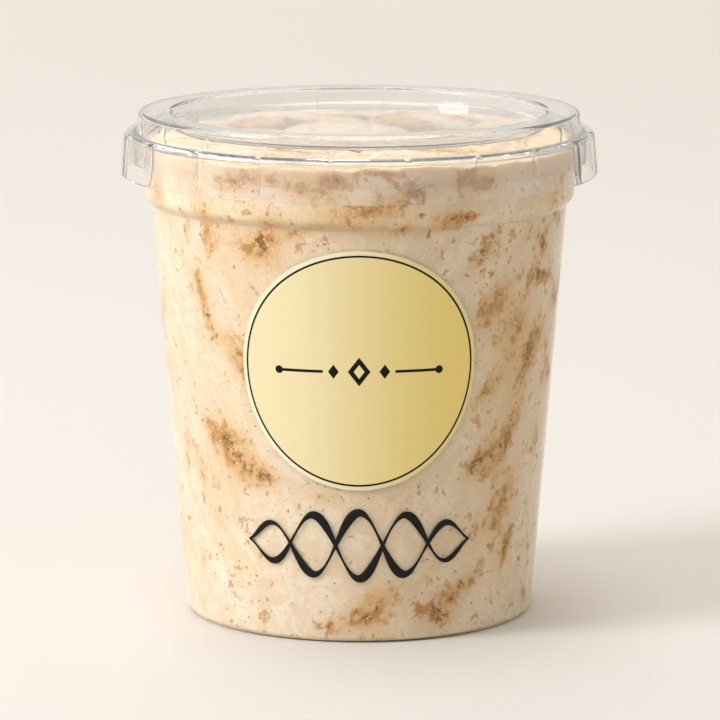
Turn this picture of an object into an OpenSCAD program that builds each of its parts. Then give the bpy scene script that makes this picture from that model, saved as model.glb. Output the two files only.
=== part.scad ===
// Clear pint tub of ice cream with a press-on lid and a round label.
// Millimetres. The tub stands on z = 0 with its axis on Z, and the label faces -Y.

/* [Tub] */
// Height of the tub, from its foot to the top face of its rim
tub_h = 101.1; // [80:0.1:130]
// Outer diameter of the tapered wall where it meets the foot
foot_d = 73.2; // [60:0.2:80]
// Outer diameter of the tapered wall where the collar starts
shoulder_d = 87.2; // [82:0.2:110]
// Thickness of the moulded wall
tub_wall = 0.8; // [0.5:0.05:1.2]
// Radius of the corner between the wall and the foot
corner_r = 1.6; // [1.3:0.1:4]
// Height of the recess under the base
push_up = 1; // [0.4:0.1:2.5]
// Width of the flat ring that the tub stands on
foot_w = 3; // [2:0.1:6]

/* [Collar and rim] */
// Height of the straight collar, from its lower edge to the rim
collar_h = 14.4; // [12:0.1:25]
// How far the collar stands out from the tapered wall
collar_step = 1.6; // [0.8:0.1:3]
// Height of the curve between the tapered wall and the collar
collar_curve = 2.6; // [1.5:0.1:4]
// How far the turned-down lip stands out from the collar
lip_reach = 2.6; // [2.2:0.1:4]
// Height of the turned-down lip
lip_h = 5.3; // [3:0.1:8]

/* [Lid] */
// Thickness of the lid's sheet
lid_wall = 0.8; // [0.5:0.05:1.2]
// Gap between the tub's lip and the top of the skirt
skirt_gap = 0.65; // [0.5:0.05:2]
// How much wider in radius the skirt is at its lower edge than at its top
skirt_flare = 0.7; // [0:0.05:2]
// Height of the skirt, from the lid's shoulder to its lower edge
skirt_h = 9; // [6:0.1:14]
// Radius of the bead along the skirt's lower edge
bead_r = 0.45; // [0.41:0.01:0.8]
// How far the raised ring's outer face lies outside the tub's mouth
ring_over = 1.7; // [1.2:0.1:2.4]
// Height of the raised ring above the shoulder
ring_h = 4.2; // [2:0.1:8]
// Width of the raised ring, from its outer face to its inner edge
ring_w = 6.9; // [4:0.1:12]
// How far the panel lies below the top of the ring
panel_drop = 2.85; // [1:0.05:3.2]

/* [Lid ribs] */
// Number of ribs round the inside of the skirt
rib_n = 20; // [8:1:30]
// Width of each rib
rib_w = 0.8; // [0.5:0.05:1.5]
// Turn of the first rib from the middle of the front, in degrees
rib_turn = 11.4; // [0:0.1:18]
// Height of the skirt's lower edge left free below each rib
rib_rise = 1.6; // [1:0.1:4]
// Gap between the ribs and the tub
rib_gap = 0.2; // [0.1:0.05:0.4]
// Height of the short upper ribs inside the raised ring
upper_rib_h = 1.6; // [0.8:0.1:2.5]
// Depth of the short upper ribs
upper_rib_depth = 0.8; // [0.4:0.1:1.5]

/* [Ice cream] */
// Gap left between the ice cream and the tub's inner face
fill_gap = 0.05; // [0.03:0.01:0.2]
// How far below the rim the ice cream meets the wall
fill_drop = 1.9; // [1:0.1:12]
// Gap between the highest lump and the lid's panel
head_gap = 0.35; // [0.2:0.05:1]
// Height of the fine folds on the surface
fold_h = 0.22; // [0:0.02:0.4]

/* [Label] */
// Diameter of the round label before it is wrapped round the tub
label_d = 50; // [20:1:60]
// Gap between the label's top and the lower edge of the collar
label_gap = 4; // [1:0.1:15]
// Thickness of the label
label_t = 0.2; // [0.1:0.01:0.4]

/* [Hidden] */
$fn = 128;
arc_steps = 5; // straight pieces in each rounded corner
around = 80; // sides of the ice cream
top_rings = 18; // rings of its uneven top

foot_r = foot_d / 2;
shoulder_r = shoulder_d / 2;
collar_z = tub_h - collar_h;
collar_r = shoulder_r + collar_step;
lip_r = collar_r + lip_reach;
recess_slope = 1.5; // run of the sloped side of the base's recess
recess_r = foot_r - corner_r - foot_w - recess_slope;
gate_r = 1.6; // spot left where the plastic was injected
gate_h = 0.3;
seat_corner_r = 0.5; // corners beside the flat where the lid sits on the rim
least_r = 0.1; // smallest corner radius

label_z = collar_z - label_gap - label_d / 2; // height of the label's middle

lid_shoulder_z = tub_h + lid_wall;
ring_z = lid_shoulder_z + ring_h;
panel_z = ring_z - panel_drop;
draft = 0.5; // lean of the lid's short upright walls
ring_r = collar_r - tub_wall + ring_over;
panel_r = ring_r - ring_w - draft;
skirt_r = lip_r + skirt_gap + lid_wall;
skirt_low_z = lid_shoulder_z - skirt_h;

// The lumps of the ice cream's top: place and radius as shares of the tub's inner radius, then height as a
// share of the room under the lid. Each is a low cap, and they meet in creases.
LUMPS = [
    [-0.08, 0.04, 0.46, 1.00], [0.44, -0.06, 0.40, 0.86], [-0.54, 0.14, 0.36, 0.70], [-0.24, 0.62, 0.40, 0.62],
    [0.34, 0.58, 0.42, 0.72], [-0.34, -0.50, 0.46, 0.74], [0.22, -0.60, 0.40, 0.66], [0.76, 0.30, 0.30, 0.48],
    [-0.78, -0.22, 0.32, 0.46]
];

// ---- Outlines ----

function unit(v) = v / norm(v);
function left_of(v) = [-v[1], v[0]];
function turn_of(a, b) = a[0] * b[1] - a[1] * b[0];

// The corner at p between unit directions a and b, moved to the left by d along both of its sides
function moved_corner(p, a, b, d) = p + d * unit(left_of(a) + left_of(b)) / cos(atan2(turn_of(a, b), a * b) / 2);

// A path moved to its left by d
function moved_path(p, d) = [
    for (i = [0 : len(p) - 1])
        let (a = unit(p[max(i, 1)] - p[max(i, 1) - 1]))
        let (b = unit(p[min(i, len(p) - 2) + 1] - p[min(i, len(p) - 2)]))
        moved_corner(p[i], a, b, d)
];

// The points of an arc of radius r that rounds the corner at p between unit directions a and b
function corner_arc(p, a, b, r) =
    let (bend = atan2(turn_of(a, b), a * b))
    let (start = p - a * r * tan(abs(bend) / 2))
    let (centre = start + left_of(a) * r * sign(bend))
    [for (i = [0 : arc_steps])
        let (t = bend * i / arc_steps)
        let (arm = start - centre)
        centre + [arm[0] * cos(t) - arm[1] * sin(t), arm[0] * sin(t) + arm[1] * cos(t)]];

// A path with each of its inner corners rounded to the radius given for it
function rounded(p, radii) = [
    for (i = [0 : len(p) - 1])
        each (i == 0 || i == len(p) - 1 || radii[i] == 0) ? [p[i]]
            : corner_arc(p[i], unit(p[i] - p[i - 1]), unit(p[i + 1] - p[i]), radii[i])
];

// The closed outline of a sheet that lies between a path and the same path moved to its left by t.
// Each face of the sheet has its own list of corner radii.
function sheet(p, radii, other_radii, t) =
    let (other = rounded(moved_path(p, t), other_radii))
    concat(rounded(p, radii), [for (i = [len(other) - 1 : -1 : 0]) other[i]]);

// ---- Tub ----

// The tub's outer face, from the axis under the base to the inside of the lip
TUB_PATH = [
    [0, push_up], [recess_r, push_up], [recess_r + recess_slope, 0], [foot_r, 0], [shoulder_r, collar_z],
    [collar_r, collar_z + collar_curve], [collar_r, tub_h - tub_wall],
    [lip_r - tub_wall, tub_h - tub_wall], [lip_r - tub_wall, tub_h - lip_h]
];
TUB_RADII = [0, 0.6, 0.6, corner_r, 0.4, 2.4, 0.3, 0.3, 0];
TUB_INNER_RADII = [
    0, 0.6 + tub_wall, least_r, max(least_r, corner_r - tub_wall), 0.4 + tub_wall, 2.4 - tub_wall,
    seat_corner_r, seat_corner_r, 0
];

module tub() {
    color([0.93, 0.93, 0.91, 0.35]) {
        rotate_extrude() polygon(sheet(TUB_PATH, TUB_RADII, TUB_INNER_RADII, tub_wall));
        translate([0, 0, push_up - gate_h]) cylinder(r = gate_r, h = gate_h + tub_wall / 2);
    }
}

// ---- Ice cream ----

// The outline that the ice cream fills, just inside the tub's inner face
FILL_PATH = rounded(moved_path(TUB_PATH, tub_wall + fill_gap), TUB_INNER_RADII);
fill_r = collar_r - tub_wall - fill_gap;
fill_z = tub_h - fill_drop;
top_room = panel_z - lid_wall - head_gap - fold_h - fill_z;

// How high one lump stands over the point [x, y], from 0 to its own height
function cap(lump, x, y) =
    let (d = norm([x / fill_r - lump[0], y / fill_r - lump[1]]) / lump[2])
    lump[3] * max(0, 1 - d * d);

// Fine folds left by the paddle, from -1 to 1: two crossing waves that bend
function folds(x, y) = (sin(14 * x + 40 * sin(5 * y)) + sin(11 * y - 35 * sin(6 * x))) / 2;

// Height of the ice cream's top at radius share s and angle a. The folds die out at the wall.
function top_z(s, a) =
    let (x = s * fill_r * cos(a))
    let (y = s * fill_r * sin(a))
    fill_z + top_room * max([for (lump = LUMPS) cap(lump, x, y)]) + fold_h * folds(x, y) * (1 - pow(s, 4));

module ice_cream() {
    // Rings of [radius, height] up the wall, and of radius shares back to the middle of the top
    side = [for (p = FILL_PATH) if (p[0] > 0 && p[0] <= fill_r + 0.001 && p[1] < fill_z) p];
    rings = len(side) + top_rings;
    points = concat(
        [for (p = side) for (k = [0 : around - 1])
            [p[0] * cos(360 * k / around), p[0] * sin(360 * k / around), p[1]]],
        [for (j = [0 : top_rings - 1]) for (k = [0 : around - 1])
            let (s = 1 - j / top_rings)
            let (a = 360 * k / around)
            [s * fill_r * cos(a), s * fill_r * sin(a), top_z(s, a)]],
        [[0, 0, side[0][1]], [0, 0, top_z(0, 0)]]
    );
    last = rings * around;
    faces = concat(
        [for (j = [0 : rings - 2]) for (k = [0 : around - 1])
            let (k2 = (k + 1) % around)
            each [
                [j * around + k, (j + 1) * around + k, (j + 1) * around + k2],
                [j * around + k, (j + 1) * around + k2, j * around + k2]
            ]],
        [for (k = [0 : around - 1]) [last, k, (k + 1) % around]],
        [for (k = [0 : around - 1])
            [last + 1, (rings - 1) * around + (k + 1) % around, (rings - 1) * around + k]]
    );
    color([0.96, 0.87, 0.74]) polyhedron(points, faces);
}

// ---- Lid ----

// The lid's top face, from the middle of the sunken panel to the skirt's lower edge
LID_PATH = [
    [0, panel_z], [panel_r, panel_z], [panel_r + draft, ring_z], [ring_r, ring_z],
    [ring_r + draft, lid_shoulder_z], [skirt_r, lid_shoulder_z], [skirt_r + skirt_flare, skirt_low_z + bead_r]
];
LID_RADII = [0, 0.4, 0.95, 1, 0.3, 1.3, 0];
LID_UNDER_RADII = [
    0, 0.4 + lid_wall, least_r, max(least_r, 1 - lid_wall), seat_corner_r, max(least_r, 1.3 - lid_wall), 0
];

// A flat rib of the outline given in radius and height, standing on the lid's front radius
module rib(outline) {
    translate([0, -rib_w / 2, 0]) rotate([90, 0, 0]) mirror([0, 0, 1]) linear_extrude(rib_w) polygon(outline);
}

module lid() {
    half = lid_wall / 2;
    rib_low_z = skirt_low_z + rib_rise;
    rib_low_r = skirt_r + skirt_flare * (1 - rib_rise / skirt_h) - half;
    rib_in = lip_r + rib_gap;
    ring_in = ring_r + draft / 2 - lid_wall;
    upper_z = tub_h + rib_gap;
    color([0.95, 0.95, 0.95, 0.3]) {
        rotate_extrude() polygon(sheet(LID_PATH, LID_RADII, LID_UNDER_RADII, -lid_wall));
        rotate_extrude() translate([skirt_r + skirt_flare - bead_r, skirt_low_z + bead_r]) circle(bead_r, $fn = 24);
        for (i = [0 : rib_n - 1]) rotate(rib_turn - 90 + 360 * i / rib_n) {
            rib([
                [rib_in, rib_low_z], [rib_low_r, rib_low_z], [skirt_r - half, tub_h - 0.5],
                [skirt_r - half - 0.5, tub_h + half], [rib_in, tub_h + half]
            ]);
            rib([
                [ring_in - upper_rib_depth, upper_z], [ring_in + half, upper_z],
                [ring_in + half, upper_z + upper_rib_h], [ring_in - upper_rib_depth / 2, upper_z + upper_rib_h]
            ]);
        }
    }
}

// ---- Label ----

// The label's outline seen from the front: a flat circle wrapped round the wall's radius at its middle
module label_outline() {
    wrap_r = foot_r + (shoulder_r - foot_r) * label_z / collar_z;
    polygon([
        for (a = [0 : 5 : 355])
            [wrap_r * sin(label_d / 2 * cos(a) / wrap_r * 180 / PI), label_z + label_d / 2 * sin(a)]
    ]);
}

// A solid cone with the lean of the tapered wall, standing out from it by t
module wall_cone(t) {
    cylinder(r1 = foot_r + t, r2 = shoulder_r + t, h = collar_z);
}

module label() {
    color([0.93, 0.84, 0.58]) intersection() {
        difference() {
            wall_cone(label_t);
            wall_cone(0);
        }
        rotate([90, 0, 0]) linear_extrude(shoulder_r + 1) label_outline();
    }
}

tub();
ice_cream();
lid();
label();
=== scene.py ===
import math

import bpy
import numpy as np
from bpy.props import FloatProperty, FloatVectorProperty, IntProperty, PointerProperty
from bpy.types import Operator, Panel, PropertyGroup
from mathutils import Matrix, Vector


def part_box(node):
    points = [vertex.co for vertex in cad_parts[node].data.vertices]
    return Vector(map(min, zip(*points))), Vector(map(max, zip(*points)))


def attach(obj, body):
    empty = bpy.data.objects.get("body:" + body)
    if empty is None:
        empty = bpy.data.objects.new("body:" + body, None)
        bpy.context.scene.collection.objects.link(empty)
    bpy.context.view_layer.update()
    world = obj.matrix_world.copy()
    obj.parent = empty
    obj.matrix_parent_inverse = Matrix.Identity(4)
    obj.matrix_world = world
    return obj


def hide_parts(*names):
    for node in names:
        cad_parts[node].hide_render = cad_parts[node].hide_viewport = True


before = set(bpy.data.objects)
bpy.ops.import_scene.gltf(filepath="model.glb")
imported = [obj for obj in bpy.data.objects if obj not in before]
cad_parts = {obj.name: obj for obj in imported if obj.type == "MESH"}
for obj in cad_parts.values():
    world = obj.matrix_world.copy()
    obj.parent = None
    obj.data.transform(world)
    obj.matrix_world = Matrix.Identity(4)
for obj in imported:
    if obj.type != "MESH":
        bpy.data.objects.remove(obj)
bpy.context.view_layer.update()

bl_info = {
    "name": "Ice Cream Tub",
    "version": (1, 0, 0),
    "blender": (4, 5, 0),
    "location": "View3D > Sidebar > Ice Cream Tub",
    "description": "Makes a clear tub of rippled ice cream with its lid and label",
    "category": "Object",
}

# Shapes are worked out in millimetres, and MM turns them into the scene's metres
MM = 0.001
TUB_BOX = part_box("tub")
LID_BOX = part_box("lid")
LABEL_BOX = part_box("label")
RIM_Z = TUB_BOX[1].z / MM
LIP_R = TUB_BOX[1].x / MM
LID_TOP_Z = LID_BOX[1].z / MM
SKIRT_LOW_Z = LID_BOX[0].z / MM
SKIRT_R = LID_BOX[1].x / MM
LABEL_MID_Z = (LABEL_BOX[0].z + LABEL_BOX[1].z) / 2 / MM
LABEL_R = (LABEL_BOX[1].z - LABEL_BOX[0].z) / 2 / MM


# ---- Sizes and colours that a user would change ----

def length(name, description, default_mm, low_mm=0.01, high_mm=200.0):
    """A length property, with its default given in millimetres."""
    return FloatProperty(name=name, description=description, default=default_mm * MM, min=low_mm * MM,
                         max=high_mm * MM, unit="LENGTH", precision=5)


def colour(name, description, red, green, blue):
    """A colour property, with its default given as display values from 0 to 255."""
    return FloatVectorProperty(name=name, description=description, subtype="COLOR", size=3, min=0.0, max=1.0,
                               default=tuple(linear(v / 255) for v in (red, green, blue)))


def share(name, description, default, high=1.0):
    """A plain number from 0 to high."""
    return FloatProperty(name=name, description=description, default=default, min=0.0, max=high)


def power(name, description, default):
    """The power of a lamp, in watts."""
    return FloatProperty(name=name, description=description, default=default, min=0.0, unit="POWER")


def linear(value):
    """One display value from 0 to 1 as the linear value that shaders take."""
    return value / 12.92 if value <= 0.04045 else ((value + 0.055) / 1.055) ** 2.4


class TubLook(PropertyGroup):
    """Sizes and finish of the clear tub."""

    wall: length("Wall", "Thickness of the moulded wall", 0.8)
    foot_radius: length("Foot radius", "Radius of the tapered wall where it meets the foot", 36.6)
    shoulder_radius: length("Shoulder radius", "Radius of the tapered wall under the collar", 43.6)
    collar_height: length("Collar height", "Height of the collar, up to the rim", 14.4)
    collar_step: length("Collar step", "How far the collar stands out from the wall", 1.6)
    collar_curve: length("Collar curve", "Height of the curve under the collar", 1.6)
    lip_height: length("Lip height", "Height of the turned-down lip", 5.3)
    corner: length("Foot corner", "Radius of the corner at the foot", 1.6)
    push_up: length("Push-up", "Height of the recess under the base", 1.0)
    foot_width: length("Foot width", "Width of the ring that the tub stands on", 3.0)
    tint: colour("Tint", "Colour of the clear plastic", 250, 248, 243)
    haze: share("Haze", "How milky the plastic is", 0.01)
    roughness: share("Roughness", "Roughness of the plastic", 0.02)


class LidLook(PropertyGroup):
    """Sizes and finish of the clear lid."""

    wall: length("Wall", "Thickness of the lid's sheet", 0.8)
    ring_width: length("Ring width", "Width of the raised ring", 6.9)
    ring_over: length("Ring overhang", "How far the ring lies outside the tub's mouth", 1.7)
    panel_drop: length("Panel drop", "How far the panel lies below the ring", 2.85)
    flare: length("Skirt flare", "How much wider the skirt is at its lower edge", 0.7)
    bead: length("Bead", "Radius of the bead along the skirt's lower edge", 0.45)
    ribs: IntProperty(name="Ribs", description="Number of ribs in the skirt", default=20, min=0, max=40)
    rib_turn: FloatProperty(name="Rib turn", description="Turn of the first rib from the front",
                            default=math.radians(11.4), subtype="ANGLE")
    rib_width: length("Rib width", "Width of each rib", 0.8)
    tint: colour("Tint", "Colour of the clear plastic", 247, 246, 245)
    haze: share("Haze", "How milky the plastic is", 0.05)
    roughness: share("Roughness", "Roughness of the plastic", 0.03)


class IceCreamLook(PropertyGroup):
    """Colours and ripple of the ice cream."""

    cream: colour("Cream", "Colour of the plain ice cream", 235, 216, 187)
    pale: colour("Pale streaks", "Colour of its paler streaks", 247, 233, 212)
    wash: colour("Caramel wash", "Colour where a little caramel is stirred in", 226, 191, 137)
    caramel: colour("Caramel", "Colour of the ripple", 200, 150, 86)
    crumb: colour("Crumb", "Colour of the darkest crumbs", 120, 78, 38)
    # Painted shade: the colours of the open top are multiplied by this to darken it
    painted_top_shade: FloatVectorProperty(name="Top shade", description="What the top's colours are multiplied by",
                                    default=(0.8, 0.76, 0.68), min=0.0, max=1.0)
    ripple: share("Ripple", "How much caramel shows", 1.0, 2.0)
    seed: IntProperty(name="Seed", description="Changes where the unseen ripples lie", default=7, min=0)


class LabelLook(PropertyGroup):
    """Sizes and finish of the round label."""

    foil: colour("Foil", "Colour of the gold foil", 249, 232, 160)
    border: colour("Border", "Colour of the paper outside the ring", 243, 231, 180)
    ink: colour("Ink", "Colour of the print", 20, 15, 10)
    # The next two paint light into the label's colours: painted shade on the right side and a painted sheen on the
    # left side
    painted_shade_right: FloatVectorProperty(name="Deep side", description="What the colours on the right are multiplied by",
                                    default=(0.86, 0.81, 0.66), min=0.0, max=1.0)
    painted_sheen_left: share("Pale side", "How much white the colours on the left take", 0.32)
    ring_share: share("Ring place", "Radius of the dark ring as a share of the label's", 0.956)
    ring_width: length("Ring line", "Width of the dark ring", 0.42)


class StageLook(PropertyGroup):
    """Floor, lights and camera."""

    floor: colour("Floor", "Colour of the floor", 235, 229, 221)
    key: power("Key light", "Power of the main light, high on the left", 21.5)
    overhead: power("Overhead light", "Power of the light above", 2.5)
    backdrop: power("Backdrop light", "Power of the light over the floor behind", 24.0)
    sky: share("Sky", "Strength of the even light from above", 0.66, 4.0)
    horizon: share("Horizon", "Strength of the even light from all round", 0.7, 4.0)


# ---- Shader writing ----

class Sig:
    """A value in a shader. Arithmetic on it adds Math nodes."""

    def __init__(self, recipe, socket):
        self.recipe = recipe
        self.socket = socket

    def _math(self, operation, *values):
        return self.recipe.add("ShaderNodeMath", {"operation": operation}, dict(enumerate(values)))

    def __add__(self, other):
        return self._math("ADD", self, other)

    __radd__ = __add__

    def __sub__(self, other):
        return self._math("SUBTRACT", self, other)

    def __rsub__(self, other):
        return self._math("SUBTRACT", other, self)

    def __mul__(self, other):
        return self._math("MULTIPLY", self, other)

    __rmul__ = __mul__

    def __truediv__(self, other):
        return self._math("DIVIDE", self, other)

    def __pow__(self, other):
        return self._math("POWER", self, other)

    def __abs__(self):
        return self._math("ABSOLUTE", self)

    def least(self, other):
        """The smaller of this value and the other."""
        return self._math("MINIMUM", self, other)

    def step(self, low, high):
        """0 below low, 1 above high, and a smooth rise between them. High below low turns it round."""
        up = high > low
        ends = {"From Min": low if up else high, "From Max": high if up else low,
                "To Min": 0.0 if up else 1.0, "To Max": 1.0 if up else 0.0}
        return self.recipe.add("ShaderNodeMapRange", {"interpolation_type": "SMOOTHSTEP"}, {"Value": self, **ends})


class Recipe:
    """One material, or the world, as it is written."""

    def __init__(self, name, kind="materials"):
        self.material = getattr(bpy.data, kind).new(name)
        self.material.use_nodes = True
        self.tree = self.material.node_tree
        self.tree.nodes.clear()

    def add(self, kind, settings=None, values=None, out=0):
        """Adds a node of that type, with its settings first and then its sockets' values or links."""
        node = self.tree.nodes.new(kind)
        for name, value in (settings or {}).items():
            setattr(node, name, value)
        for name, value in (values or {}).items():
            if isinstance(value, Sig):
                self.tree.links.new(value.socket, node.inputs[name])
            else:
                node.inputs[name].default_value = value
        return Sig(self, node.outputs[out]) if node.outputs else None

    def blend(self, factor, first, second, mode="MIX"):
        """Mixes two colours, each a colour or a link."""
        first, second = (v if isinstance(v, Sig) else (*v, 1.0) for v in (first, second))
        return self.add("ShaderNodeMix", {"data_type": "RGBA", "blend_type": mode}, {0: factor, 6: first, 7: second},
                        out=2)

    def noise(self, place, scale, detail=2.0, roughness=0.5, distortion=0.0):
        """Cloudy noise from 0 to 1. The scale is in clouds to the metre."""
        return self.add("ShaderNodeTexNoise", {"noise_dimensions": "3D"}, {
            "Vector": place, "Scale": scale, "Detail": detail, "Roughness": roughness, "Distortion": distortion})

    def cells(self, place, scale):
        """Distance to the nearest of many scattered points, in shares of their spacing."""
        return self.add("ShaderNodeTexVoronoi", {"feature": "F1"}, {"Vector": place, "Scale": scale})

    def object_place(self):
        """The place on the piece, in metres."""
        return self.add("ShaderNodeTexCoord", out=3)

    def parts(self, vector):
        """The three numbers of a vector."""
        split = self.add("ShaderNodeSeparateXYZ", None, {0: vector}).socket.node
        return [Sig(self, output) for output in split.outputs]

    def stirred(self, place, scale, amount):
        """The place moved about by up to half the amount in metres, so that round things come out ragged."""
        push = self.add("ShaderNodeTexNoise", {"noise_dimensions": "3D"}, {
            "Vector": place, "Scale": scale, "Detail": 2.0}, out=1)
        return self.add("ShaderNodeVectorMath", {"operation": "MULTIPLY_ADD"}, {
            0: push, 1: (amount, amount, amount), 2: place})

    def attribute(self, name):
        """The number that a piece's mesh holds under this name."""
        return self.add("ShaderNodeAttribute", {"attribute_name": name}, out=2)

    def bump(self, height, strength, distance):
        """Normals from a height."""
        return self.add("ShaderNodeBump", None, {"Height": height, "Strength": strength, "Distance": distance})

    def finish(self, shader, output="ShaderNodeOutputMaterial"):
        """Wires the shader to the output."""
        self.add(output, None, {"Surface": shader})
        return self.material


def clear_plastic(name, tint, haze, roughness, bending, gloss, shadow):
    """Clear moulded plastic, as milky as its haze says. Bending is its refractive index, kept low so that what lies
    behind shows at a low angle too. Gloss strengthens what it mirrors head on, to make up for that. Lamps shine
    straight through it, dimmed to the share that shadow gives."""
    recipe = Recipe(name)
    body = recipe.add("ShaderNodeBsdfPrincipled", None, {
        "Base Color": (*tint, 1.0), "Roughness": roughness, "IOR": bending, "Transmission Weight": 1.0 - haze,
        "Specular Tint": (gloss, gloss, gloss, 1.0)})
    passing = recipe.add("ShaderNodeBsdfTransparent", None, {"Color": (shadow, shadow, shadow, 1.0)})
    lamp_ray = recipe.add("ShaderNodeLightPath", out=1)
    return recipe.finish(recipe.add("ShaderNodeMixShader", None, {0: lamp_ray, 1: body, 2: passing}))


# ---- Shapes ----

# How many faces go round a clear piece
ROUND = 288


def smooth(value, low, high):
    """0 below low, 1 above high, and a smooth rise between them, for arrays."""
    t = np.clip((value - low) / (high - low), 0.0, 1.0)
    return t * t * (3.0 - 2.0 * t)


def unit(vector):
    """The vector at length 1."""
    return vector / np.linalg.norm(vector)


def moved_path(path, distance):
    """The path moved to its left: each corner goes along the middle of its two sides' left directions, by the
    distance over the cosine of half the turn."""
    path = np.array(path, float)
    moved = []
    for i, p in enumerate(path):
        a = unit(path[max(i, 1)] - path[max(i, 1) - 1])
        b = unit(path[min(i, len(path) - 2) + 1] - path[min(i, len(path) - 2)])
        half = math.atan2(a[0] * b[1] - a[1] * b[0], a @ b) / 2
        left = unit(np.array([-a[1] - b[1], a[0] + b[0]]))
        moved.append(p + distance * left / math.cos(half))
    return np.array(moved)


def rounded(path, radii, steps=9):
    """The path with each inner corner replaced by an arc of its radius that touches both of its sides."""
    path = np.array(path, float)
    points = [path[:1]]
    for i in range(1, len(path) - 1):
        if radii[i] <= 0:
            points.append(path[i:i + 1])
            continue
        a, b = unit(path[i] - path[i - 1]), unit(path[i + 1] - path[i])
        bend = math.atan2(a[0] * b[1] - a[1] * b[0], a @ b)
        start = path[i] - a * radii[i] * math.tan(abs(bend) / 2)
        side = np.array([-a[1], a[0]]) * math.copysign(1.0, bend)
        centre = start + side * radii[i]
        t = np.linspace(0.0, bend, steps)
        arm = start - centre
        points.append(centre + np.stack([arm[0] * np.cos(t) - arm[1] * np.sin(t),
                                         arm[0] * np.sin(t) + arm[1] * np.cos(t)], axis=1))
    points.append(path[-1:])
    return np.concatenate(points)


def filled_in(path, longest):
    """The path with extra points, so that no step is longer than this."""
    pieces = []
    for a, b in zip(path[:-1], path[1:]):
        n = max(1, int(math.ceil(np.linalg.norm(b - a) / longest)))
        pieces.append(a + (b - a) * np.arange(n)[:, None] / n)
    return np.concatenate(pieces + [path[-1:]])


def closed_surface(name, rings, first, last, material, values=None, flat_places=None):
    """A closed mesh from a grid of rings: each ring joins the next, every ring closes on itself, and the first and
    last rings close on one point each. Its faces point outwards. values gives one number to each ring point, by
    name, and flat_places gives each a place on the piece's UV map."""
    rows, columns = rings.shape[:2]
    points = np.concatenate([rings.reshape(-1, 3), [first, last]]) * MM
    index = np.arange(rows * columns).reshape(rows, columns)
    after = np.roll(index, -1, axis=1)
    quads = np.stack([index[:-1], after[:-1], after[1:], index[1:]], axis=-1).reshape(-1, 4)
    start = np.stack([np.full(columns, rows * columns), after[0], index[0]], axis=-1)
    end = np.stack([np.full(columns, rows * columns + 1), index[-1], after[-1]], axis=-1)
    triangles = np.concatenate([start, end])
    halves = np.concatenate([quads[:, [0, 1, 2]], quads[:, [0, 2, 3]], triangles])
    a, b, c = points[halves[:, 0]], points[halves[:, 1]], points[halves[:, 2]]
    if np.einsum("ij,ij->i", a, np.cross(b, c)).sum() < 0:
        quads, triangles = quads[:, ::-1], triangles[:, ::-1]
    corners = np.concatenate([quads.ravel(), triangles.ravel()])
    totals = np.concatenate([np.full(len(quads), 4), np.full(len(triangles), 3)])
    mesh = bpy.data.meshes.new(name)
    mesh.vertices.add(len(points))
    mesh.vertices.foreach_set("co", points.ravel())
    mesh.loops.add(len(corners))
    mesh.loops.foreach_set("vertex_index", corners.astype(np.int32))
    mesh.polygons.add(len(totals))
    mesh.polygons.foreach_set("loop_start", (np.cumsum(totals) - totals).astype(np.int32))
    mesh.polygons.foreach_set("loop_total", totals.astype(np.int32))
    mesh.polygons.foreach_set("use_smooth", np.ones(len(totals), bool))
    mesh.update(calc_edges=True)
    if mesh.validate():
        raise RuntimeError(f"the mesh of {name} isn't sound")
    for key, numbers in (values or {}).items():
        ends = [numbers[0].mean(), numbers[-1].mean()]
        mesh.attributes.new(key, "FLOAT", "POINT").data.foreach_set(
            "value", np.concatenate([numbers.ravel(), ends]).astype(np.float32))
    if flat_places is not None:
        ends = [flat_places[0].mean(axis=0), flat_places[-1].mean(axis=0)]
        places = np.concatenate([flat_places.reshape(-1, 2), ends])
        mesh.uv_layers.new(name="flat").data.foreach_set("uv", places[corners].ravel().astype(np.float32))
    mesh.materials.append(material)
    piece = bpy.data.objects.new(name, mesh)
    bpy.context.scene.collection.objects.link(piece)
    return piece


def turned(path, angles):
    """A path of radius and height carried round the axis: one ring for each of its points."""
    radius, height = path[:, :1], path[:, 1:]
    return np.stack([radius * np.cos(angles), radius * np.sin(angles), height + 0 * angles], axis=-1)


def even_angles(count):
    """That many angles, evenly spaced round a turn."""
    return np.linspace(0.0, 2 * math.pi, count, endpoint=False)


def hand_in(piece, node):
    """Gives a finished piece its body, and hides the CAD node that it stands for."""
    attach(piece, "root")
    if node:
        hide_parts(node)


# ---- Tub ----

def tub_paths(look):
    """The tub's outer and inner faces as paths of radius and height. The outer one runs from the axis under the base,
    over the foot, up the wall and collar, and out to the edge of the lip; the inner one is that path moved in by the
    wall's thickness."""
    wall, foot, shoulder = look.wall / MM, look.foot_radius / MM, look.shoulder_radius / MM
    collar_z = RIM_Z - look.collar_height / MM
    collar = shoulder + look.collar_step / MM
    corner, up = look.corner / MM, look.push_up / MM
    slope = 1.5
    recess = foot - corner - look.foot_width / MM - slope
    path = [(0, up), (recess, up), (recess + slope, 0), (foot, 0), (shoulder, collar_z),
            (collar, collar_z + look.collar_curve / MM), (collar, RIM_Z - wall), (LIP_R - wall, RIM_Z - wall),
            (LIP_R - wall, RIM_Z - look.lip_height / MM)]
    # The bends are two at the recess, the foot, both ends of the curve under the collar, and two at the lip
    base_bend, curve_foot, curve_top = 0.6, 0.4, 2.4
    outer = rounded(path, [0, base_bend, base_bend, corner, curve_foot, curve_top, 0.3, 0.3, 0])
    inner = rounded(moved_path(path, wall), [0, base_bend + wall, 0.1, corner - wall, curve_foot + wall,
                                             curve_top - wall, 0.5, 0.5, 0])
    return outer, inner


def rounded_edge(start, end, bulge, steps=7):
    """A half circle from start to end, whose middle stands out by half their distance along the bulge direction."""
    t = np.linspace(0.0, math.pi, steps + 2)[1:-1, None]
    start, end = np.array(start), np.array(end)
    middle, arm = (start + end) / 2, (start - end) / 2
    return middle + arm * np.cos(t) + np.linalg.norm(arm) * np.array(bulge) * np.sin(t)


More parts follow.
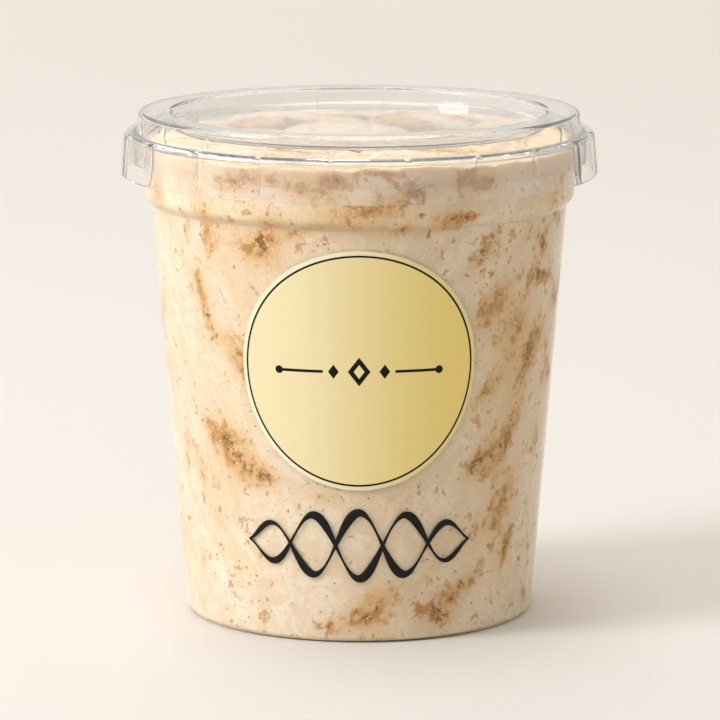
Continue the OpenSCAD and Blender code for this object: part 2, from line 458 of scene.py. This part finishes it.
class TUB_OT_make(Operator):
    """Make the clear tub"""

    bl_idname = "icecreamtub.make_tub"
    bl_label = "Tub"

    def execute(self, context):
        look = context.scene.tub_look
        outer, inner = tub_paths(look)
        raised = np.array([0, look.wall / MM / 2])
        edge = rounded_edge(outer[-1] + raised, inner[-1] + raised, (0, -1))
        path = np.concatenate([outer[:-1], outer[-1:] + raised, edge, inner[-1:] + raised, inner[-2::-1]])
        path = filled_in(path, longest=6.0)
        rings = turned(path[1:-1], even_angles(ROUND))
        skin = clear_plastic("clear_tub_plastic", look.tint, look.haze, look.roughness, bending=1.2, gloss=1.5,
                             shadow=0.98)
        piece = closed_surface("clear_tub", rings, (0, 0, path[0, 1]), (0, 0, path[-1, 1]), skin)
        hand_in(piece, "tub")
        return {"FINISHED"}


# ---- Lid ----

def rib_columns(count, turn, half_width, radius):
    """Angles round the lid, close together at both sides of each rib and wide apart between the ribs, and how much of
    a rib there is at each: 1 on a rib, 0 between them, with a smooth edge."""
    if count == 0:
        return even_angles(ROUND), np.zeros(ROUND)
    edge, edge_points, gap_points = 0.3, 5, 12
    near = np.concatenate([np.linspace(-half_width - edge, -half_width + edge, edge_points),
                           np.linspace(half_width - edge, half_width + edge, edge_points)]) / radius
    pitch = 2 * math.pi / count
    gap = np.linspace(near[-1], pitch + near[0], gap_points + 2)[1:-1]
    one = np.concatenate([near, gap])
    angles = (turn - math.pi / 2 + pitch * np.arange(count)[:, None] + one).ravel()
    away = np.tile(np.where(one > pitch / 2, one - pitch, one), count) * radius
    return angles, 1.0 - smooth(np.abs(away), half_width - edge, half_width + edge)


class LID_OT_make(Operator):
    """Make the clear lid with its ribs"""

    bl_idname = "icecreamtub.make_lid"
    bl_label = "Lid"

    def execute(self, context):
        tub, look = context.scene.tub_look, context.scene.lid_look
        wall, draft = look.wall / MM, 0.5
        shoulder_z = RIM_Z + wall
        panel_z = LID_TOP_Z - look.panel_drop / MM
        ring = (tub.shoulder_radius + tub.collar_step - tub.wall + look.ring_over) / MM
        panel = ring - look.ring_width / MM - draft
        bead = look.bead / MM
        path = [(0, panel_z), (panel, panel_z), (panel + draft, LID_TOP_Z), (ring, LID_TOP_Z),
                (ring + draft, shoulder_z), (SKIRT_R - look.flare / MM, shoulder_z), (SKIRT_R, SKIRT_LOW_Z + bead)]
        # The bends are the panel's edge, the ring's inside, its outside, its foot, and the shoulder of the skirt
        outer = rounded(path, [0, 0.4, 0.95, 1.0, 0.3, 1.3, 0])
        inner = rounded(moved_path(path, -wall), [0, 0.4 + wall, 0.15, 0.2, 0.5, 0.5, 0])
        # The bead is the lower part of a circle, from the skirt's outer face round to its inner one
        t = np.linspace(math.radians(75), math.radians(-255), 19)[:, None]
        edge = np.array([SKIRT_R - bead, SKIRT_LOW_Z + bead]) + bead * np.concatenate([np.cos(t), np.sin(t)], axis=1)
        edge = edge[edge[:, 1] < SKIRT_LOW_Z + 1.3 * bead]
        path = filled_in(np.concatenate([outer[:-1], edge, inner[-2::-1]]), longest=3.0)
        angles, rib = rib_columns(look.ribs, look.rib_turn, look.rib_width / MM / 2, LIP_R)
        rings = turned(path[1:-1], angles)

        # Tall ribs are folds of the skirt, where both of its faces are pushed in until they are just clear of the
        # tub's lip. Short ones stand on the inner face at the foot of the ring. The path counts as skirt from the
        # first point that lies outside the lip.
        radius, height = path[1:-1, :1], path[1:-1, 1:]
        skirt_from = np.argmax(radius[:, 0] > LIP_R)
        under = (np.arange(len(path) - 2) >= skirt_from)[:, None]
        rib_r, rib_low_z, reach = LIP_R + 0.2, SKIRT_LOW_Z + 1.6, 0.97
        tall = under * (radius > rib_r) * smooth(height, rib_low_z - 0.3, rib_low_z + 0.3)
        ring_in, short_depth = ring - wall, 0.7
        short = under * (radius > ring_in - 0.2) * (radius < ring_in + 1.0) * (height > shoulder_z - 0.5)
        short = short * (1.0 - smooth(height, shoulder_z + 0.6, shoulder_z + 1.6))
        new_radius = radius + rib * (tall * (rib_r - radius) * reach - short * short_depth)
        rings[..., 0] = new_radius * np.cos(angles)
        rings[..., 1] = new_radius * np.sin(angles)
        skin = clear_plastic("clear_lid_plastic", look.tint, look.haze, look.roughness, bending=1.12, gloss=7.0,
                             shadow=0.98)
        piece = closed_surface("clear_lid", rings, (0, 0, path[0, 1]), (0, 0, path[-1, 1]), skin)
        hand_in(piece, "lid")
        return {"FINISHED"}


# ---- Ice cream ----

# How far below the rim the filling meets the wall, how far the lumps stand above that, and how far the filling
# reaches into the wall, in mm
EDGE_DROP = 1.9
HEADROOM = 2.6
INTO_WALL = 0.3

# Half the rise of the swirl from the front of the tub to its back, in mm
SWIRL = 58.0

# The soft lumps of the top: place and radius as shares of the mouth's radius, and height as a share of the headroom
LUMPS = [
    (-0.08, 0.04, 0.46, 1.00), (0.44, -0.06, 0.40, 0.86), (-0.54, 0.14, 0.36, 0.70), (-0.24, 0.62, 0.40, 0.62),
    (0.34, 0.58, 0.42, 0.72), (-0.34, -0.50, 0.46, 0.74), (0.22, -0.60, 0.40, 0.66), (0.76, 0.30, 0.30, 0.48),
    (-0.78, -0.22, 0.32, 0.46),
]

# Caramel patches on the top: place, half length and half width as shares of the mouth's radius, slant in degrees and
# depth of colour
TOP_PATCHES = [
    (-0.52, 0.20, 0.30, 0.14, 20, 1.9), (-0.28, 0.40, 0.16, 0.16, 0, 2.4), (0.15, 0.42, 0.16, 0.16, -30, 2.4),
    (0.30, 0.18, 0.24, 0.14, -50, 2.2), (0.64, 0.12, 0.20, 0.10, -10, 1.7), (-0.72, -0.08, 0.14, 0.08, 0, 1.1),
    (0.34, -0.55, 0.22, 0.07, 10, 1.0), (-0.22, -0.62, 0.24, 0.07, -14, 1.0), (0.05, 0.76, 0.22, 0.10, 5, 1.5),
    (-0.60, 0.56, 0.18, 0.10, 40, 1.5), (0.62, 0.60, 0.20, 0.10, -40, 1.5), (-0.05, -0.30, 0.10, 0.05, 30, 0.8),
]

# Ripples that show at the front: turn from the front in degrees and height in mm, then half length, half width,
# slant in degrees and depth of colour
FRONT_RIPPLES = [
    (-29, 82, 3.2, 2.2, 0, 1.0), (-27, 84, 2.0, 1.2, 60, 0.9), (-17, 86, 5.0, 1.1, 22, 0.55),
    (-23, 88, 3.0, 1.8, -30, 0.45), (-46, 84, 4.5, 1.6, 88, 0.7), (-55, 85, 4.0, 1.4, 80, 0.55),
    (-50, 72, 5.0, 1.2, -75, 0.8), (-42, 76, 4.5, 3.4, -60, 0.25), (-38, 60, 4.6, 1.7, -45, 0.95),
    (-33, 55, 4.5, 1.5, -50, 0.5), (-47, 65, 3.5, 1.0, -65, 0.5), (-65, 37, 5.0, 1.4, 85, 0.55),
    (-42, 40, 7.0, 2.5, -38, 1.05), (-31, 35, 4.0, 2.0, -15, 0.8), (-57, 32, 6.0, 1.6, -65, 0.55),
    (-11, 31, 2.6, 1.3, -10, 0.55), (-60, 14, 4.0, 1.6, 80, 0.5), (-49, 24, 3.0, 1.4, -50, 0.45),
    (-31, 12, 2.4, 1.6, 0, 0.5), (-11, 3, 3.0, 1.4, -20, 0.6), (0, 5, 3.4, 1.7, 15, 1.0),
    (5, 9, 4.2, 1.8, 25, 0.7), (26, 6, 4.0, 2.6, 0, 1.05), (35, 11, 4.2, 1.9, 30, 0.95),
    (54, 18, 4.6, 1.5, 72, 0.85), (50, 27, 5.0, 2.2, 60, 0.95), (45, 38, 6.0, 3.2, 40, 0.7),
    (37, 36, 2.3, 1.4, 45, 1.05), (53, 44, 4.0, 1.6, 60, 0.6), (40, 52, 3.2, 1.4, 40, 0.75),
    (58, 57, 7.5, 2.2, 72, 0.8), (41, 70, 6.0, 3.2, 32, 0.8), (38, 83, 3.2, 1.2, 50, 0.75),
    (34, 79, 4.4, 1.3, 25, 0.55), (62, 80, 4.0, 1.3, 72, 0.65), (25, 88, 2.8, 1.6, -10, 0.9),
    (12, 87, 2.2, 1.1, 20, 0.75), (30, 89, 3.8, 0.9, 5, 0.7), (4, 91, 7.0, 1.6, 12, 0.8),
    (-15, 95, 6.0, 1.5, -14, 0.85), (-34, 96, 5.0, 1.7, 10, 0.9), (32, 96, 5.0, 1.6, -12, 0.9),
    (5, 99, 7.0, 1.2, 4, 0.8), (16, 95, 5.0, 1.6, 10, 0.85), (-8, 97, 5.0, 1.1, -8, 0.6),
    (50, 64, 8.0, 4.5, 60, 0.4), (32, 24, 6.0, 4.0, 20, 0.3),
]


def waves(x, y, seed, count, shortest, longest):
    """Uneven ground from -1 to 1: plain waves of many lengths and directions added up, each one bent by the last."""
    random = np.random.default_rng(seed)
    push, fullness = 1.4, 1.6
    total, weight, bend = np.zeros_like(x), 0.0, np.zeros_like(x)
    for i in range(count):
        wave = longest * (shortest / longest) ** (i / max(count - 1, 1))
        turn, phase = random.uniform(0, 2 * math.pi, 2)
        bend = np.sin(2 * math.pi * (x * math.cos(turn) + y * math.sin(turn)) / wave + phase + push * bend)
        size = wave ** 0.8
        total, weight = total + size * bend, weight + size
    return total / weight * fullness


def lump_heights(x, y, mouth):
    """How high the lumps stand, from 0 to 1, and how deep a crease is, from 0 to 1. Each lump is a low cap, one less
    the squared distance from its middle, and the highest at a point wins; a crease is where two are level."""
    x, y = x / mouth, y / mouth
    caps = np.array([h * np.clip(1.0 - ((x - a) ** 2 + (y - b) ** 2) / r ** 2, 0.0, None) for a, b, r, h in LUMPS])
    caps = np.sort(caps, axis=0)
    crease_width = 0.13
    return caps[-1], np.exp(-((caps[-1] - caps[-2]) / crease_width) ** 2) * smooth(caps[-1], 0.02, 0.2)


def oval(across, up, half_length, half_width, slant):
    """A slanted soft oval round the zero of across and up: e to the minus squared distance, with the distance along
    the oval in half lengths and the one over it in half widths."""
    c, s = math.cos(math.radians(slant)), math.sin(math.radians(slant))
    along, over = across * c + up * s, up * c - across * s
    return np.exp(-(along / half_length) ** 2 - (over / half_width) ** 2)


def patch_depth(x, y, mouth):
    """How much caramel lies at each point of the top: the sum of the patches' ovals."""
    depth = np.zeros_like(x)
    for a, b, half_length, half_width, slant, strength in TOP_PATCHES:
        depth = depth + strength * oval(x / mouth - a, y / mouth - b, half_length, half_width, slant)
    return depth


def ripple_depth(turn, height, radius, seed, amount):
    """How much caramel there is at each point of the wall: the sum of the ripples' ovals, chosen at the front and
    scattered by the seed elsewhere, each with a longer, wider and fainter oval round it."""
    random = np.random.default_rng(seed)
    count, most, faint = 110, 1.4, 0.35
    ripples = [(random.uniform(62, 298), random.uniform(4, 97), random.uniform(2, 6.5), random.uniform(0.9, 2.6),
                random.uniform(-80, 80), random.uniform(0.3, 1.0)) for _ in range(count)]
    depth = np.zeros_like(turn)
    for angle, z, half_length, half_width, slant, strength in FRONT_RIPPLES + ripples:
        away = (turn - math.radians(angle) + math.pi) % (2 * math.pi) - math.pi
        across, up = away * radius, height - z
        depth = depth + strength * oval(across, up, half_length, half_width, slant)
        depth = depth + faint * strength * oval(across, up, 2 * half_length, 2.5 * half_width, slant)
    return np.clip(depth * amount, 0.0, most)


def flow_height(turn, height):
    """A height that is level along the swirl of the filling: the height less the swirl times one less the cosine of
    the turn from the front."""
    return height - SWIRL * (1.0 - np.cos(turn))


def ice_cream_skin(look):
    """Soft matt ice cream: cream with paler streaks, a wash of caramel round each ripple, ragged darker caramel in its
    middle, golden shreds, dark crumbs, fine specks and painted glints. Where it lies open under the lid its colours
    are darkened by painted shade, and its creases are painted darker, with caramel and painted shade."""
    recipe = Recipe("ice_cream")
    here = recipe.object_place()
    depth, crease, opened = recipe.attribute("caramel"), recipe.attribute("crease"), recipe.attribute("open")
    across, back, _ = recipe.parts(here)
    # Streaks follow the swirl, because the flow stands in for the height
    flow = recipe.add("ShaderNodeCombineXYZ", None, {
        0: across * 0.8, 1: back * 0.8, 2: recipe.attribute("flow") * (0.7 * MM)})
    cloudy = recipe.noise(flow, 70.0, 3.0, 0.55, 0.5)
    wisps = recipe.noise(flow, 190.0, 4.0, 0.6, 0.8)
    ragged = recipe.noise(here, 420.0, 4.0, 0.6, 0.5)
    grain = recipe.noise(here, 1300.0, 3.0, 0.6)
    veins = abs(wisps - 0.5).step(0.07, 0.0) * cloudy.step(0.46, 0.62)

    base = recipe.blend((wisps * 0.5 + ragged * 0.5).step(0.42, 0.6), look.cream, look.pale)
    wash = (depth * 1.1 + (cloudy - 0.5) * 1.9 + (wisps - 0.5) * 1.1 + (ragged - 0.5) * 1.2).step(0.08, 1.15)
    base = recipe.blend(wash * 0.9, base, look.wash)
    base = recipe.blend(veins * 0.4 * (0.35 + ragged), base, look.wash)
    core = (depth * 0.85 + (ragged - 0.5) * 3.0 + (wisps - 0.5) * 2.2 + (grain - 0.5) * 0.6).step(0.42, 1.25)
    base = recipe.blend(core * 0.95, base, look.caramel)
    # Creases take the darkest colour too: painted shade in the creases, along with caramel
    dark = (depth * 0.9 + crease * 1.6 - opened * 0.1 + (ragged - 0.5) * 2.8 + (grain - 0.5) * 2.2).step(1.1, 1.65)
    base = recipe.blend(dark * 0.8, base, look.crumb)

    # Shreds, crumbs and pepper come in clusters, as points that fade out where the nearest one is too far off
    clusters = recipe.noise(here, 110.0, 2.0)
    stirred = recipe.stirred(here, 380.0, 0.005)
    shreds = recipe.cells(stirred, 300.0).step(0.28, 0.14) * clusters.step(0.42, 0.54)
    base = recipe.blend(shreds * 0.7, base, look.caramel)
    crumbs = recipe.cells(stirred, 150.0).step(0.1, 0.04) * clusters.step(0.4, 0.5)
    base = recipe.blend(crumbs * 0.7, base, look.crumb)
    pepper = recipe.cells(here, 560.0).step(0.17, 0.08) * (clusters.step(0.4, 0.6) + core).least(1.0)
    base = recipe.blend(pepper * 0.65, base, look.crumb)
    # Painted shade: the top that lies open under the lid is darkened, less so near the wall
    base = recipe.blend(opened, base, look.painted_top_shade, "MULTIPLY")
    # Glints are painted highlights: pale dots painted into the colour, most of them in the caramel wash
    glints = recipe.cells(here, 700.0).step(0.2, 0.1) * (wash * 0.7 + 0.3)
    base = recipe.blend(glints * 0.7, base, look.pale)
    height = ragged * 0.6 + grain * 0.25 + wisps * 0.5
    skin = recipe.add("ShaderNodeBsdfPrincipled", None, {
        "Base Color": base, "Roughness": 0.5 + crease * 0.2 - core * 0.12, "IOR": 1.4,
        "Subsurface Weight": 0.7, "Subsurface Radius": (1.0, 0.62, 0.36), "Subsurface Scale": 0.0023,
        "Normal": recipe.bump(height, 0.35, 0.0012)})
    return recipe.finish(skin)


class ICE_CREAM_OT_make(Operator):
    """Make the ice cream that fills the tub"""

    bl_idname = "icecreamtub.make_ice_cream"
    bl_label = "Ice cream"

    def execute(self, context):
        tub, lid, look = context.scene.tub_look, context.scene.lid_look, context.scene.ice_cream_look
        inner = tub_paths(tub)[1]
        mouth = (tub.shoulder_radius + tub.collar_step - tub.wall) / MM
        edge_z = RIM_Z - EDGE_DROP
        full = mouth + INTO_WALL

        # The side follows the tub's inner face, moved into the wall, up to just under the edge of the top
        side = moved_path(inner[inner[:, 1] < edge_z - 0.5], -INTO_WALL)
        side = side[(side[:, 0] > 0.5) & (side[:, 0] < full + 0.01)]
        angles = even_angles(360)
        side = filled_in(np.concatenate([side, [(full, edge_z - 0.6)]]), longest=0.9)
        wall_rings = turned(side, angles)

        # The top: lumps that a gentle stir makes uneven, with roughness, creases and hollows on them
        radius = np.linspace(1.0, 0.012, 84)[:, None] * full * np.ones_like(angles)
        x, y = radius * np.cos(angles), radius * np.sin(angles)
        stir = 4.0
        stirred_x = x + stir * waves(x, y, seed=3, count=7, shortest=5, longest=34)
        stirred_y = y + stir * waves(y, x, seed=4, count=7, shortest=5, longest=34)
        caps, crease = lump_heights(stirred_x, stirred_y, mouth)
        crease = crease * smooth(waves(x, y, seed=31, count=6, shortest=7, longest=30), -0.35, 0.45)
        patches = patch_depth(0.5 * (x + stirred_x), 0.5 * (y + stirred_y), mouth)
        near_wall = smooth(radius / mouth, 0.86, 1.0)
        rough = waves(x, y, seed=11, count=9, shortest=1.8, longest=9.0)
        relief = 0.5 * rough - 0.8 * crease - 0.4 * np.minimum(patches, 1.5)
        top = edge_z + HEADROOM * caps + (1 - near_wall) * relief + 0.35 * near_wall * rough
        ceiling = LID_TOP_Z - (lid.panel_drop + lid.wall) / MM
        top = np.minimum(top, ceiling - 0.05 - 0.3 * (1 - np.tanh(1 - caps)))
        rings = np.concatenate([wall_rings, np.stack([x, y, top], axis=-1)])

        turn = np.arctan2(rings[..., 0], -rings[..., 1])
        out = np.hypot(rings[..., 0], rings[..., 1])
        depth = ripple_depth(turn, rings[..., 2], out, look.seed, look.ripple)
        flow = flow_height(turn, rings[..., 2])
        flow[len(side):] = top + 0.6 * y
        broad = waves(x, y, seed=23, count=8, shortest=3, longest=24)
        uneven = 1.0 + 0.5 * waves(x, y, seed=37, count=6, shortest=2, longest=12)
        # On the top the caramel depth also follows the creases: painted shade in the creases as well as caramel
        depth[len(side):] = np.clip(0.7 * broad + 1.2 * crease + patches * uneven, 0.0, 2.0)
        no_top = np.zeros(wall_rings.shape[:2])
        # open marks the top for its painted shade, with less of it near the wall
        values = {"caramel": depth, "flow": flow, "crease": np.concatenate([no_top, crease]),
                  "open": np.concatenate([no_top, 1.0 - 0.4 * near_wall])}
        piece = closed_surface("ice_cream_fill", rings, (0, 0, side[0, 1]), (0, 0, top[-1].mean()),
                               ice_cream_skin(look), values)
        hand_in(piece, "ice_cream")
        return {"FINISHED"}


# ---- Label ----

def on_wall(x, z, lift, tub):
    """Points of a flat print, x along the wall and z up it in mm, wrapped round the tapered wall with its front at -Y.
    Each x is an arc on the wall's circle at the label's middle."""
    foot, shoulder = tub.foot_radius / MM, tub.shoulder_radius / MM
    collar_z = RIM_Z - tub.collar_height / MM
    at_mid = foot + (shoulder - foot) * LABEL_MID_Z / collar_z
    radius = foot + (shoulder - foot) * z / collar_z + lift
    turn = x / at_mid
    return np.stack([radius * np.sin(turn), -radius * np.cos(turn), z + 0 * x], axis=-1)


def label_skin(look, radius):
    """Satin gold foil with a paler border, a thin dark ring, and a plain ornament: an open lozenge in the middle, and
    on each side of it a small lozenge and a rule that ends in a dot. Light is painted onto the foil: a painted sheen
    on the left and painted shade on the right. Places are in mm from the label's middle."""
    recipe = Recipe("gold_label")
    right, up, _ = recipe.parts(recipe.add("ShaderNodeUVMap", {"uv_map": "flat"}))
    x, z = (right - 0.5) * (2 * radius), (up - 0.5) * (2 * radius)
    from_middle = (x * x + z * z) ** 0.5
    line, half, soft = look.ring_share * radius, look.ring_width / MM / 2, 0.05
    ring = abs(from_middle - line).step(half + soft, half - soft)

    side, level = abs(x), abs(z)
    lozenge = (side / 2.3 + level / 3.0).step(1.02, 0.98)
    hole = (side / 1.1 + level / 1.45).step(0.96, 1.04)
    small = (abs(side - 5.2) / 1.1 + level / 1.5).step(1.03, 0.97)
    rule = level.step(0.34, 0.26) * side.step(7.3, 7.4) * side.step(16.4, 16.3)
    dot = ((side - 16.6) * (side - 16.6) + z * z).step(0.75, 0.6)
    ink = (ring + lozenge * hole + small + rule + dot).least(1.0)

    grain = recipe.noise(recipe.object_place(), 900.0, 2.0)
    outside = from_middle.step(line - 0.1, line + 0.1)
    foil = recipe.blend(grain * 0.12, look.foil, tuple(0.82 * v for v in look.foil))
    base = recipe.blend(outside, foil, look.border)
    # Painted light across the label: painted shade darkens its right side and a painted sheen whitens its left side
    painted_shade_share = right.step(0.08, 0.95)
    base = recipe.blend(painted_shade_share, base, look.painted_shade_right, "MULTIPLY")
    base = recipe.blend((1.0 - painted_shade_share) * look.painted_sheen_left, base, (1.0, 1.0, 1.0))
    base = recipe.blend(ink, base, look.ink)
    skin = recipe.add("ShaderNodeBsdfPrincipled", None, {
        "Base Color": base, "Metallic": (1.0 - ink) * (1.0 - outside) * 0.9,
        "Specular IOR Level": 0.15, "Roughness": 0.5 + 0.05 * outside + (grain - 0.5) * 0.06,
        "Normal": recipe.bump(recipe.noise(recipe.object_place(), 60.0, 1.0), 0.05, 0.002)})
    return recipe.finish(skin)


class LABEL_OT_make(Operator):
    """Make the round label on the front"""

    bl_idname = "icecreamtub.make_label"
    bl_label = "Label"

    def execute(self, context):
        look, tub = context.scene.label_look, context.scene.tub_look
        # Circles from the back's middle out, over the rounded edge, and in again to the face's middle
        angles = even_angles(180)
        back, face, circles = -0.02, 0.2, 22
        share_in = np.linspace(0.04, 0.992, circles)
        radii = np.concatenate([share_in, [0.998, 1.0, 0.998], share_in[::-1]]) * LABEL_R
        lift = np.concatenate([np.full(circles, back), [0.03, 0.1, 0.17], np.full(circles, face)])
        x, z = radii[:, None] * np.cos(angles), radii[:, None] * np.sin(angles)
        rings = on_wall(x, LABEL_MID_Z + z, lift[:, None], tub)
        flat = np.stack([0.5 + x / (2 * LABEL_R), 0.5 + z / (2 * LABEL_R)], axis=-1)
        ends = on_wall(np.zeros(2), np.full(2, LABEL_MID_Z), np.array([back, face]), tub)
        piece = closed_surface("gold_label", rings, ends[0], ends[1], label_skin(look, LABEL_R), flat_places=flat)
        hand_in(piece, "label")
        return {"FINISHED"}


# ---- Print on the wall ----

def ribbon_rings(x, z, half_width, lift, tub):
    """A thin printed stroke along the flat line x, z: at each point a narrow loop across the stroke, as wide as the
    stroke there, so that it lies on the wall with its face just proud of it."""
    along = np.stack([np.gradient(x), np.gradient(z)], axis=-1)
    along = along / np.linalg.norm(along, axis=1, keepdims=True)
    sides = np.array([-1.0, -0.5, 0.0, 0.5, 1.0, 0.5, 0.0, -0.5])
    heights = np.array([0.0, 1.0, 1.0, 1.0, 0.0, -1.0, -1.0, -1.0]) * lift
    px = x[:, None] - along[:, 1:] * sides * half_width[:, None]
    pz = z[:, None] + along[:, :1] * sides * half_width[:, None]
    return on_wall(px, pz, heights[None, :] + 0 * px, tub)


class PRINT_OT_make(Operator):
    """Make the braid printed on the wall under the label"""

    bl_idname = "icecreamtub.make_print"
    bl_label = "Print"

    def execute(self, context):
        look, tub = context.scene.label_look, context.scene.tub_look
        recipe = Recipe("dark_print")
        spread = recipe.noise(recipe.object_place(), 800.0, 3.0)
        shade = recipe.blend(spread, tuple(look.ink), tuple(1.7 * v for v in look.ink))
        ink = recipe.finish(recipe.add("ShaderNodeBsdfPrincipled", None, {
            "Base Color": shade, "Roughness": 0.45 + spread * 0.12, "Specular IOR Level": 0.2}))

        # Two strands that swing to opposite sides of a level line, and thicken and thin along it
        half_length, middle_z, swing, lift = 26.0, 21.0, 7.0, 0.05
        thin, more = 0.25, 0.75
        t = np.linspace(-1.0, 1.0, 240)
        x = half_length * t
        envelope = np.cos(t * math.pi / 2) ** 0.5
        for number, sign in enumerate((1, -1)):
            z = middle_z + sign * swing * envelope * np.cos(2.5 * math.pi * t)
            half_width = thin + more * envelope * (0.5 + 0.5 * np.cos(5 * math.pi * t + sign))
            rings = ribbon_rings(x, z, half_width, lift, tub)
            ends = on_wall(x[[0, -1]], z[[0, -1]], np.zeros(2), tub)
            piece = closed_surface(f"print_strand_{number}", rings, ends[0], ends[1], ink)
            hand_in(piece, None)
        return {"FINISHED"}


# ---- Stage ----

def area_light(name, watts, width, height, place_at, look_at, shade):
    """A soft oval lamp that shines towards a point."""
    lamp = bpy.data.lights.new(name, "AREA")
    lamp.shape, lamp.size, lamp.size_y, lamp.energy, lamp.color = "ELLIPSE", width, height, watts, shade
    lit = bpy.data.objects.new(name, lamp)
    aim = np.array(look_at, float) - np.array(place_at, float)
    lit.location = place_at
    tilt, turn = math.atan2(math.hypot(aim[0], aim[1]), -aim[2]), math.atan2(aim[1], aim[0]) - math.pi / 2
    lit.rotation_euler = (tilt, 0.0, turn)
    bpy.context.scene.collection.objects.link(lit)


class STAGE_OT_make(Operator):
    """Make the floor, the lights and the camera"""

    bl_idname = "icecreamtub.make_stage"
    bl_label = "Stage"

    def execute(self, context):
        look = context.scene.stage_look
        scene = context.scene
        recipe = Recipe("pale_floor")
        mottle = recipe.noise(recipe.object_place(), 3.0, 2.0)
        shade = recipe.blend(mottle * 0.06, look.floor, tuple(0.95 * v for v in look.floor))
        skin = recipe.finish(recipe.add("ShaderNodeBsdfPrincipled", None, {
            "Base Color": shade, "Roughness": 0.85, "Specular IOR Level": 0.2}))
        wide, edge, thick = 8000.0, 7900.0, 60.0
        path = np.array([(0.01, -thick), (edge, -thick), (wide, -thick / 2), (edge, 0.0), (0.01, 0.0)])
        floor = closed_surface("pale_floor", turned(filled_in(path, longest=800.0), even_angles(96)), (0, 0, -thick),
                               (0, 0, 0.0), skin)
        area_light("key", look.key, 0.8, 0.8, (-1.65, -0.68, 1.25), (0, 0, 0.05), (0.96, 0.99, 1.09))
        area_light("overhead", look.overhead, 0.8, 0.3, (-0.1, 0.0, 1.2), (0, 0, 0.1), (0.9, 0.95, 1.0))
        area_light("backdrop", look.backdrop, 3.0, 1.4, (-0.8, 2.8, 1.8), (-0.6, 2.1, 0.0), (1.0, 0.97, 0.94))
        recipe = Recipe("sky", "worlds")
        _, _, up = recipe.parts(recipe.add("ShaderNodeTexCoord", out=0))
        strength = look.horizon + (look.sky - look.horizon) * up.step(0.15, 0.3)
        scene.world = recipe.finish(recipe.add("ShaderNodeBackground", None, {
            "Color": (1.0, 0.962, 0.905, 1.0), "Strength": strength}), "ShaderNodeOutputWorld")
        scene.view_settings.view_transform = "Standard"
        scene.view_settings.look = "None"
        look_down = math.radians(10.178)
        lens = bpy.data.cameras.new("camera")
        lens.lens, lens.sensor_width = 224.03, 36.0
        lens.shift_x = 0.0012
        lens.clip_start, lens.clip_end = 0.05, 30.0
        camera = bpy.data.objects.new("camera", lens)
        camera.location = (0.0, -0.9328, 0.2202)
        camera.rotation_euler = (math.pi / 2 - look_down, 0.0, 0.0)
        scene.collection.objects.link(camera)
        scene.camera = camera
        return {"FINISHED"}


# ---- Add-on ----

class TUB_PT_panel(Panel):
    """Lists the pieces and their looks in the sidebar."""

    bl_idname = "VIEW3D_PT_ice_cream_tub"
    bl_label = "Ice Cream Tub"
    bl_space_type = "VIEW_3D"
    bl_region_type = "UI"
    bl_category = "Ice Cream Tub"

    def draw(self, context):
        for operator in OPERATORS:
            self.layout.operator(operator.bl_idname)
        for name in LOOKS:
            look = getattr(context.scene, name)
            box = self.layout.box()
            box.label(text=name.replace("_", " ").capitalize())
            for key in look.bl_rna.properties.keys():
                if key not in ("rna_type", "name"):
                    box.prop(look, key)


LOOKS = {"tub_look": TubLook, "lid_look": LidLook, "ice_cream_look": IceCreamLook, "label_look": LabelLook,
         "stage_look": StageLook}
OPERATORS = (TUB_OT_make, LID_OT_make, ICE_CREAM_OT_make, LABEL_OT_make, PRINT_OT_make, STAGE_OT_make)


def register():
    """Adds the classes and the looks that the scene holds."""
    for item in (*LOOKS.values(), *OPERATORS, TUB_PT_panel):
        bpy.utils.register_class(item)
    for name, group in LOOKS.items():
        setattr(bpy.types.Scene, name, PointerProperty(type=group))


def unregister():
    """Removes what register added."""
    for name in LOOKS:
        delattr(bpy.types.Scene, name)
    for item in reversed((*LOOKS.values(), *OPERATORS, TUB_PT_panel)):
        bpy.utils.unregister_class(item)


def main():
    """Makes every piece and the stage."""
    register()
    for call in (bpy.ops.icecreamtub.make_stage, bpy.ops.icecreamtub.make_ice_cream, bpy.ops.icecreamtub.make_tub,
                 bpy.ops.icecreamtub.make_lid, bpy.ops.icecreamtub.make_label, bpy.ops.icecreamtub.make_print):
        call()


if __name__ == "__main__":
    main()
